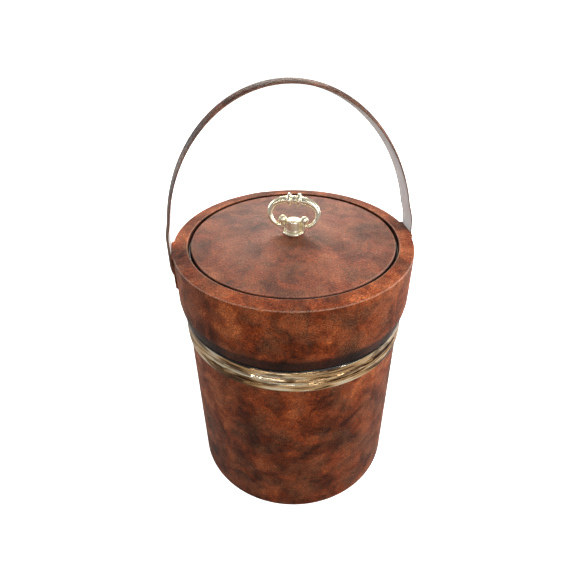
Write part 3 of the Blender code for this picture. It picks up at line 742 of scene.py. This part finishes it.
def arch_points():
    """Points (across, up) along the outside of the handle, from pivot to pivot."""
    steps = 150
    clear = 0.3 * MM
    leg_half_width = PAD_FACE + clear + STRAP_THICKNESS
    pads_below_pivots = PAD_DROP - (RIM - HANDLE_AXIS_HEIGHT)
    legs_end = math.hypot(PAD_HALF_WIDTH, pads_below_pivots) + clear
    blend = 16.0 * MM             # the height in which the legs pass into the arch
    first = math.asin((legs_end - ARCH_SPRING) / ARCH_RISE)
    points = []
    for step in range(steps + 1):
        angle = first + (math.pi - 2 * first) * step / steps
        up = ARCH_SPRING + ARCH_RISE * math.sin(angle)
        across = ARCH_HALF_WIDTH * math.cos(angle)
        spread = (leg_half_width - ARCH_HALF_WIDTH) * (1.0 - ease((up - legs_end) / blend))
        across += math.copysign(spread, across)
        across += ARCH_SET * (up - ARCH_SPRING) / ARCH_RISE
        points.append(Vector((across, up)))
    start = Vector((leg_half_width, 0.0))
    end = Vector((-leg_half_width, 0.0))
    return [start] + points + [end]


def padding(point):
    """How much thicker the handle is at a point than at its pivots: it is fullest at its top."""
    start = 30.0 * MM
    return 1.0 + 0.36 * ease((point.y - start) / (ARCH_SPRING + ARCH_RISE - start))


def strap(name, profile, surface, replaced):
    """A strap with round ends that follows the arch.

    The profile gives (inset, depth, edge value) points from the middle of its outside, round its
    edge, to the middle of its inside. The edge value is pale edge wear that is also a painted highlight.
    """
    points = arch_points()
    stations = []
    for index, point in enumerate(points):
        if index in (0, len(points) - 1):
            inward = Vector((-math.copysign(1.0, point.x), 0.0))
        else:
            along = points[index + 1] - points[index - 1]
            inward = Vector((-along.y, along.x)).normalized()
        stations.append((point, inward))
    end_steps = 14
    place = handle_place()
    shape = bmesh.new()
    loops = []
    for inset, thin_depth, _ in profile:
        reach = STRAP_WIDTH / 2 - inset
        loop = []
        for side, order in ((1, stations), (-1, stations[::-1])):
            for point, inward in order:
                depth = thin_depth * padding(point)
                spot = point + inward * depth
                loop.append(shape.verts.new(place @ Vector((spot.x, side * reach, spot.y))))
            last, inward = order[-1]     # then round the strap's end
            for step in range(1, end_steps):
                turn = math.pi * step / end_steps
                spot = last + inward * depth - Vector((0.0, reach * math.sin(turn)))
                across = side * reach * math.cos(turn)
                loop.append(shape.verts.new(place @ Vector((spot.x, across, spot.y))))
        loops.append(loop)
    for here, there in zip(loops, loops[1:]):
        for index in range(len(here)):
            follow = (index + 1) % len(here)
            shape.faces.new((here[index], here[follow], there[follow], there[index]))
    wear_and_painted_light = [value for (_, _, value), loop in zip(profile, loops) for _ in loop]
    for loop in (loops[0], loops[-1]):   # close the middle of the outside and of the inside
        half = len(loop) // 2
        count = len(stations)
        for index in range(count - 1):
            other = half + count - 1 - index
            shape.faces.new((loop[index], loop[index + 1], loop[other - 1], loop[other]))
        shape.faces.new([loop[index] for index in range(count - 1, half + 1)])
        closing = range(half + count - 1, len(loop) + 1)
        shape.faces.new([loop[index % len(loop)] for index in closing])
    finish_mesh(name, shape, "handle", surface, replaced, wear_and_painted_light)


def build_handle(vinyl, lining):
    """A strap with a crowned outside: the covering over the padding, and a flat strip inside."""
    half = STRAP_WIDTH / 2
    crown = 2.2 * MM
    near_middle = 9.4 * MM
    core = 3.8 * MM               # the covering is hollow from here in, round the padding
    hem = 0.75 * MM
    inside = STRAP_THICKNESS - 0.8 * MM

    def outside_depth(inset):
        return crown * ((half - inset) / half) ** 2

    insets = [inset * MM for inset in (9.4, 8.0, 6.5, 5.0, 3.5, 2.2, 1.2, 0.6)]
    skin = [(inset, outside_depth(inset), 0.0) for inset in insets]
    skin += [
        # pale along the strap's edge: edge wear, and a painted highlight
        (0.2 * MM, crown * 0.98, 0.5),
        (0.0, crown + 0.2 * MM, 0.7),
        (0.05 * MM, STRAP_THICKNESS - 0.2 * MM, 0.5),
        (0.25 * MM, STRAP_THICKNESS, 0.2),
        (hem - 0.15 * MM, STRAP_THICKNESS, 0.0),
        (hem, STRAP_THICKNESS - 0.15 * MM, 0.0),
        (hem, inside, 0.0),
        (core, inside, 0.0),
        (core, 1.2 * MM, 0.0),
        (6.0 * MM, 0.95 * MM, 0.0),
        (near_middle, 0.95 * MM, 0.0),
    ]
    strap("handle_cover", skin, vinyl, ["handle_skin"])

    back = STRAP_THICKNESS - 0.75 * MM
    face = STRAP_THICKNESS + 0.02 * MM
    start = hem + 0.05 * MM
    strip = [
        (near_middle, back, 0.0),
        (start + 0.1 * MM, back, 0.0),
        (start, face - 0.3 * MM, 0.0),
        (start + 0.12 * MM, face - 0.06 * MM, 0.3),
        (start + 0.35 * MM, face, 0.0),
        (start + 1.2 * MM, face, 0.0),
        (start + 1.45 * MM, face - 0.2 * MM, 0.0),      # a pressed line along the edge
        (start + 1.7 * MM, face, 0.0),
        (5.0 * MM, face + 0.04 * MM, 0.0),
        (near_middle, face + 0.06 * MM, 0.0),
    ]
    strap("handle_inner_strip", strip, lining, ["handle_lining"])


# ---- knob and ring pull ----------------------------------------------------------------
def knob_place():
    """From the knob's own axes to where it stands on the lid."""
    return Matrix.Translation((0.0, 0.0, LID_APEX)) @ Matrix.Rotation(KNOB_TURN, 4, "Z")


def build_knob(surface):
    """The rosette on the lid, and the post with its two lugs and balls."""
    place = knob_place()
    flange_low, flange_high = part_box("knob_flange")
    low = flange_low.z - LID_APEX
    high = flange_high.z - LID_APEX
    radius = (flange_high.x - flange_low.x) / 2
    outline = rounded([
        (SCREW_HOLE, low, 0.0),
        (radius, low, 0.4 * MM),
        (radius, low + 1.2 * MM, 0.5 * MM),
        (radius - 1.5 * MM, high, 0.6 * MM),
        (SCREW_HOLE, high, 0.0),
    ])
    shape, wear_and_painted_light = turned(outline, facets=KNOB_FACETS)
    bmesh.ops.transform(shape, matrix=place, verts=shape.verts)
    finish_mesh("knob_rosette", shape, "lid", surface, ["knob_flange"], wear_and_painted_light)

    post_low = high + 0.3 * MM
    outline = rounded([
        (SCREW_HOLE, post_low, 0.0),
        (POST_RADIUS + 0.3 * MM, post_low, 0.2 * MM),
        (POST_RADIUS + 0.3 * MM, post_low + 0.7 * MM, 0.25 * MM),
        (POST_RADIUS, post_low + 1.0 * MM, 0.2 * MM),
        (POST_RADIUS, POST_HEIGHT, 0.9 * MM),
        (POST_RADIUS * 0.5, POST_HEIGHT + 0.7 * MM, 3.0 * MM),
        (0.0, POST_HEIGHT + 0.95 * MM, 0.0),
        (0.0, POST_HEIGHT - 1.2 * MM, 0.0),
        (SCREW_HOLE, POST_HEIGHT - 1.2 * MM, 0.0),
    ])
    shape, wear_and_painted_light = turned(outline, facets=KNOB_FACETS)
    bmesh.ops.transform(shape, matrix=place, verts=shape.verts)
    post = finish_mesh("knob_body", shape, "lid", surface, ["knob_post"])

    rise = BAIL_AXIS_HEIGHT - LID_APEX
    lug = 2.1 * MM
    lug_top = rise + 2.4 * MM
    lug_outline = [(0.0, post_low), (lug, post_low), (lug, rise + 1.6 * MM),
                   (lug * 0.6, lug_top), (0.0, lug_top)]
    bore = BAIL_PIN + 0.3 * MM
    bore_start = 7.0 * MM
    bore_length = 5.0 * MM
    bore_outline = [(0.0, 0.0), (bore, 0.0), (bore, bore_length), (0.0, bore_length)]
    for side in (-1.0, 1.0):
        solids = (("lug", lug_outline, LUG_OFFSET), ("ball", ball_outline(rise), BALL_OFFSET))
        for name, outline, offset in solids:
            tool = turned_tool(name, outline, surface, facets=48)
            tool.matrix_world = place @ Matrix.Translation((side * offset, 0.0, 0.0))
            join_solid(post, tool, "UNION")
        bore_tool = turned_tool("lug_bore", bore_outline, surface, facets=24)
        turn = Matrix.Rotation(side * math.pi / 2, 4, "Y")
        bore_tool.matrix_world = place @ Matrix.Translation((side * bore_start, 0.0, rise)) @ turn
        join_solid(post, bore_tool, "DIFFERENCE")


def ball_outline(rise):
    """A ball on a short neck that rises from the lug."""
    neck = 1.5 * MM
    neck_low = rise + 0.6 * MM
    steps = 16
    start = math.asin(neck / BALL_RADIUS)
    outline = [(0.0, neck_low), (neck, neck_low)]
    for step in range(steps + 1):
        turn = start + (math.pi - start) * step / steps
        outline.append((BALL_RADIUS * math.sin(turn), POST_HEIGHT - BALL_RADIUS * math.cos(turn)))
    outline[-1] = (0.0, outline[-1][1])
    return outline


def turned_tool(name, outline, surface, facets):
    """A turned solid to join to another, or to cut from it."""
    shape, _ = turned(outline, facets=facets)
    bmesh.ops.recalc_face_normals(shape, faces=shape.faces)
    mesh = bpy.data.meshes.new(name)
    shape.to_mesh(mesh)
    shape.free()
    mesh.materials.append(surface)
    tool = bpy.data.objects.new(name, mesh)
    bpy.context.scene.collection.objects.link(tool)
    return tool


def join_solid(target, tool, operation):
    """Applies a Boolean with a tool, then removes the tool."""
    step = target.modifiers.new("join", "BOOLEAN")
    step.operation = operation
    step.object = tool
    bpy.context.view_layer.update()
    evaluated = target.evaluated_get(bpy.context.evaluated_depsgraph_get())
    mesh = bpy.data.meshes.new_from_object(evaluated)
    target.modifiers.clear()
    target.data = mesh
    bpy.data.objects.remove(tool)
    mesh.shade_smooth()
    mesh.set_sharp_from_angle(angle=SHARP_ANGLE)


def bail_centre(angle):
    """Centre line (across, up) of the ring pull: an ellipse with slightly full corners.

    The angle is 0 at the bottom, where the ring is open, and pi at its top.
    """
    tip_angle = math.asin(BAIL_TIP / BAIL_HALF_WIDTH)
    half_height = BAIL_HEIGHT / (1.0 + math.cos(tip_angle))
    middle = BAIL_HEIGHT - half_height
    full = 1.0 + 0.045 * math.sin(2.0 * angle) ** 2
    across = BAIL_HALF_WIDTH * math.sin(angle) * full
    return Vector((across, middle - half_height * math.cos(angle) * full))


def bail_radius(angle):
    """Radius of the ring's bar, which swells toward its top and has two round collars there."""
    top = (1.0 - math.cos(angle)) / 2.0
    radius = (1.85 + 1.4 * top * top) * MM
    if top > 0.9:
        collar_offset = 3.9 * MM
        half_collar = 1.75 * MM
        from_collar = abs(abs(bail_centre(angle).x) - collar_offset) / half_collar
        if from_collar < 1.0:
            radius = max(radius, 5.65 * MM * (1.0 - 0.4 * from_collar ** 4))
        elif from_collar < 1.4:
            radius += 0.5 * MM * ease((1.4 - from_collar) / 0.3)
    return radius


def build_ring_pull(surface):
    """An open ring, whose two pins sit in the lugs' bores."""
    place = (Matrix.Translation((0.0, 0.0, BAIL_AXIS_HEIGHT)) @ Matrix.Rotation(KNOB_TURN, 4, "Z")
             @ Matrix.Rotation(-BAIL_LEAN, 4, "X"))
    # loops stand closer together across the top, where the bar's two collars are
    top_half = 6.6
    top_steps = 66
    arm_steps = 60
    tip = math.asin(BAIL_TIP / BAIL_HALF_WIDTH)
    arm_end = math.pi - math.asin(top_half * MM / BAIL_HALF_WIDTH)
    arm = [tip + (arm_end - tip) * step / arm_steps for step in range(arm_steps)]
    across = [top_half - top_half * step / top_steps for step in range(top_steps)]
    top = [math.pi - math.asin(value * MM / BAIL_HALF_WIDTH) for value in across]
    half = arm + top
    angles = half + [math.pi] + [math.tau - angle for angle in reversed(half)]
    sides = 28
    shape = bmesh.new()
    loops = []

    def add_loop(centre, outward, radius):
        loop = []
        for side in range(sides):
            turn = math.tau * side / sides
            spot = centre + outward * radius * math.cos(turn)
            loop.append(shape.verts.new(place @ Vector((spot.x, radius * math.sin(turn), spot.y))))
        loops.append(loop)

    # the first pin, the ring, the second pin
    pin = [(7.4, BAIL_PIN * 0.8), (7.6, BAIL_PIN), (10.7, BAIL_PIN)]
    for position, radius in pin:
        add_loop(Vector((position * MM, 0.0)), Vector((0.0, -1.0)), radius)
    for index, angle in enumerate(angles):
        centre = bail_centre(angle)
        along = (bail_centre(angle + 0.001) - bail_centre(angle - 0.001)).normalized()
        outward = Vector((along.y, -along.x))
        radius = bail_radius(angle)
        if index in (0, len(angles) - 1):
            radius *= 0.8
        add_loop(centre, outward, radius)
    for position, radius in reversed(pin):
        add_loop(Vector((-position * MM, 0.0)), Vector((0.0, -1.0)), radius)
    for here, there in zip(loops, loops[1:]):
        for side in range(sides):
            follow = (side + 1) % sides
            shape.faces.new((here[side], here[follow], there[follow], there[side]))
    shape.faces.new(loops[0])
    shape.faces.new(reversed(loops[-1]))
    finish_mesh("ring_pull", shape, "bail", surface, ["bail_ring"])


# ---- materials on the CAD parts that stay ------------------------------------------------
def dress_cad_nodes(surfaces):
    """Gives each CAD part that still shows the surface for its material slot in the record."""
    record_slots = {item["node"]: item["material_slot"] for item in frame["record"]["subparts"]}
    for name, node in frame["nodes"].items():
        if node.hide_render:
            continue
        node.data.materials.clear()
        node.data.materials.append(surfaces[record_slots[name]])


# ---- stage -----------------------------------------------------------------------------
def build_floor():
    """Plain white paper. It shows white, but it lights the bucket only as grey paper does,
    and what the bucket reflects of it is a paler grey."""
    paper = Surface("white_paper", (0.90, 0.90, 0.90), 0.9)
    rays = paper.node("LightPath").outputs
    seen = rays["Is Camera Ray"]
    grey = paper.mix(rays["Is Glossy Ray"], (0.16, 0.155, 0.15), (0.38, 0.37, 0.355))
    speckle = paper.noise(paper.place, 4.0, 2.0)
    white = paper.ramp(speckle, (0.3, (0.80, 0.80, 0.80)), (0.7, (0.82, 0.82, 0.82)))
    paper.paint(paper.mix(seen, grey, white))
    paper.put(paper.shader.inputs["Emission Strength"], seen)
    paper.gloss(Specular_IOR_Level=0.0, Emission_Color=(1.0, 1.0, 1.0, 1.0))
    shape = bmesh.new()
    bmesh.ops.create_grid(shape, x_segments=4, y_segments=4, size=14.0)
    mesh = bpy.data.meshes.new("floor")
    shape.to_mesh(mesh)
    shape.free()
    mesh.materials.append(paper.material)
    floor = bpy.data.objects.new("floor", mesh)
    floor.location.z = cad_low.z - 0.05 * MM
    bpy.context.scene.collection.objects.link(floor)


def build_light(name, azimuth, elevation, distance, size, power, colour=(1.0, 1.0, 1.0)):
    """A soft panel that faces the bucket. Azimuth 0 is in front, 90 is on the right."""
    light = bpy.data.lights.new(name, "AREA")
    light.shape = "RECTANGLE"
    light.size, light.size_y = size
    light.energy = power
    light.color = colour
    panel = bpy.data.objects.new(name, light)
    panel.visible_camera = False
    bpy.context.scene.collection.objects.link(panel)
    turn, rise = math.radians(azimuth), math.radians(elevation)
    away = Vector((math.sin(turn) * math.cos(rise), -math.cos(turn) * math.cos(rise),
                   math.sin(rise)))
    aim = Vector((0.0, 0.0, 0.18))
    panel.location = aim + away * distance
    panel.rotation_euler = away.to_track_quat("Z", "Y").to_euler()


def build_world():
    """A pale room, darker in front. Its walls show plain white in the camera's view."""
    front = Vector((-0.18, -0.93, 0.32)).normalized()
    room_strength = 0.42
    world = bpy.data.worlds.new("studio")
    bpy.context.scene.world = world
    world.use_nodes = True
    tree = world.node_tree
    room = tree.nodes["Background"]
    room.inputs["Strength"].default_value = room_strength
    place = tree.nodes.new("ShaderNodeTexCoord")
    facing = tree.nodes.new("ShaderNodeVectorMath")
    facing.operation = "DOT_PRODUCT"
    facing.inputs[1].default_value = front
    shade = tree.nodes.new("ShaderNodeValToRGB")
    shade.color_ramp.interpolation = "EASE"
    stops = ((0.25, (1.0, 1.0, 1.0, 1.0)), (0.85, (0.05, 0.045, 0.04, 1.0)))
    for element, (position, colour) in zip(shade.color_ramp.elements, stops):
        element.position = position
        element.color = colour
    backdrop = tree.nodes.new("ShaderNodeBackground")
    backdrop.inputs["Color"].default_value = (1.0, 1.0, 1.0, 1.0)
    choice = tree.nodes.new("ShaderNodeMixShader")
    rays = tree.nodes.new("ShaderNodeLightPath")
    for source, socket in (
        (place.outputs["Generated"], facing.inputs[0]),
        (facing.outputs["Value"], shade.inputs["Fac"]),
        (shade.outputs["Color"], room.inputs["Color"]),
        (rays.outputs["Is Camera Ray"], choice.inputs["Fac"]),
        (room.outputs[0], choice.inputs[1]),
        (backdrop.outputs[0], choice.inputs[2]),
        (choice.outputs[0], tree.nodes["World Output"].inputs["Surface"]),
    ):
        tree.links.new(source, socket)


def build_camera():
    """Stands in front of the bucket, above it, a little to its left, and looks down."""
    azimuth = math.radians(-10.5)
    pitch_down = 35.39
    distance = 367.8 * MM
    height = 452.7 * MM
    camera = bpy.data.cameras.new("camera")
    camera.sensor_width = 36.0
    camera.lens = 30.4
    camera.shift_x = -0.0060
    camera.clip_start = 0.01
    camera.clip_end = 100.0
    stand = bpy.data.objects.new("camera", camera)
    bpy.context.scene.collection.objects.link(stand)
    stand.location = (math.sin(azimuth) * distance, -math.cos(azimuth) * distance, height)
    stand.rotation_euler = (math.radians(90.0 - pitch_down), 0.0, azimuth)
    bpy.context.scene.camera = stand


def build_stage():
    bpy.context.scene.view_settings.view_transform = "Standard"
    build_camera()
    build_world()
    build_floor()
    # name, azimuth, elevation, distance in metres, size in metres, power in watts
    build_light("key", 18.0, 38.0, 1.1, (0.6, 0.6), 6.4, (1.0, 0.98, 0.95))
    build_light("back", 171.0, 31.0, 1.2, (0.7, 0.4), 6.5, (1.0, 0.93, 0.82))
    build_light("right", 104.0, 14.0, 1.1, (0.5, 0.8), 12.0)
    build_light("left", -132.0, 15.0, 1.2, (0.4, 0.8), 7.0)
    build_light("low_strip", -12.0, 7.0, 1.4, (1.7, 0.16), 2.2)
    build_light("glint_left", -46.0, 24.0, 1.2, (0.06, 0.7), 0.8)
    build_light("glint_right", 34.0, 20.0, 1.2, (0.12, 0.7), 2.4)


def build_object():
    gold = gold_surface("polished_gold", 0.14)
    satin_gold = gold_surface("satin_gold", 0.25)
    dark_plastic = gloss_plastic_surface("dark_plastic", (0.020, 0.016, 0.014), 0.22)
    black_plastic = gloss_plastic_surface("black_plastic", (0.008, 0.008, 0.008), 0.14)
    rubber = rubber_surface("dull_rubber")
    body_vinyl = vinyl_surface("body_vinyl", (0.35, 0.11, 0.27), 0.65)
    surfaces = {
        "fibreboard": board_surface("fibreboard"),
        "white_foam": foam_surface("bead_foam"),
        "steel": steel_surface("zinc_steel"),
        "gold_metal": gold,
    }
    build_body(body_vinyl)
    build_base(base_cover_surface("embossed_black_paper"))
    build_collar(vinyl_surface("collar_vinyl", (0.62, 0.34, 0.05), 0.5))
    build_bead(black_plastic)
    build_gold_band(stamped_gold_surface("stamped_gold"))
    build_liner(dark_plastic)
    build_lid(vinyl_surface("lid_vinyl", (0.17, 0.73, 0.41), 0.75, shine=0.36, contrast=0.8))
    build_lid_underside(dark_plastic, rubber)
    build_handle(vinyl_surface("handle_vinyl", (0.91, 0.22, 0.63), 2.2, shine=0.14),
                 lining_surface("grey_lining"))
    build_knob(satin_gold)
    build_ring_pull(gold)
    dress_cad_nodes(surfaces)


build_stage()
build_object()
